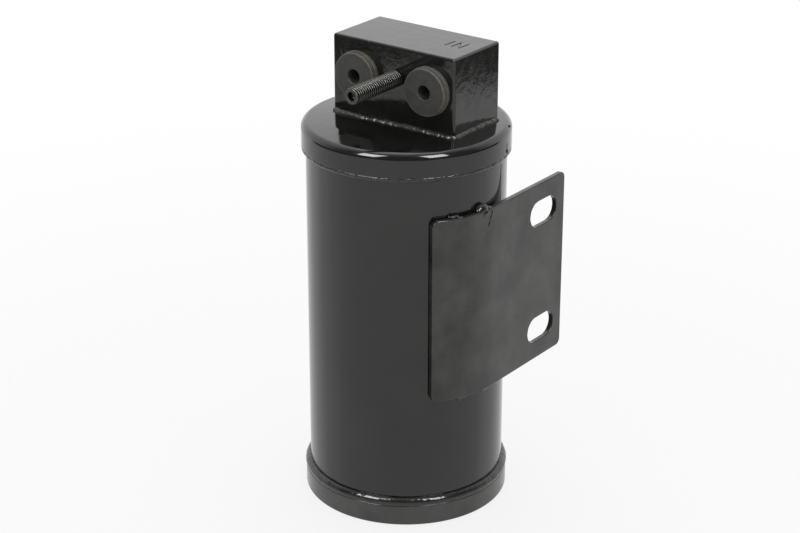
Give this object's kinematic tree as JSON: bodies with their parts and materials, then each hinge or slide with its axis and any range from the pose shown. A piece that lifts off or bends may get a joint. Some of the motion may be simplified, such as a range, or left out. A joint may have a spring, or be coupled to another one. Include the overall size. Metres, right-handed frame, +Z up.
{
  "type": "receiver drier",
  "caption": "Upright welded refrigerant receiver drier with a ported top block, rubber-plugged ports, a threaded stud and a slotted side bracket.",
  "frame": {"origin": "centre of the bottom cap's flat underside, on the can's axis", "axes": "+Z up along the can's axis towards the block, -Y out of the block's ported front along the stud, +X square out of the bracket's flat flange"},
  "size_m": [0.1025, 0.1104, 0.2296],
  "materials": {
    "black_paint": "glossy black enamel",
    "bracket_paint": "satin black enamel",
    "weld_paint": "painted weld bead",
    "dark_steel": "dark phosphated steel thread",
    "plug_rubber": "matt moulded rubber",
    "plain_steel": "plain pressed steel",
    "gauze": "woven steel gauze",
    "felt": "pressed felt",
    "drying_beads": "dull porous beads"
  },
  "bodies": {
    "root": {"can_tube": "black_paint", "top_cap": "black_paint", "bottom_cap": "black_paint", "top_weld": "weld_paint", "bottom_weld": "weld_paint", "manifold_block": "black_paint", "block_weld": "weld_paint", "stud": "dark_steel", "inlet_plug": "plug_rubber", "outlet_plug": "plug_rubber", "mounting_bracket": "bracket_paint", "bracket_weld_1": "weld_paint", "bracket_weld_2": "weld_paint", "bracket_weld_3": "weld_paint", "bracket_weld_4": "weld_paint", "pickup_tube": "plain_steel", "pickup_strainer": "gauze", "lower_plate": "plain_steel", "lower_filter": "felt", "desiccant_bed": "drying_beads", "upper_filter": "felt", "upper_plate": "plain_steel", "pack_spring": "plain_steel"}
  },
  "joints": []
}
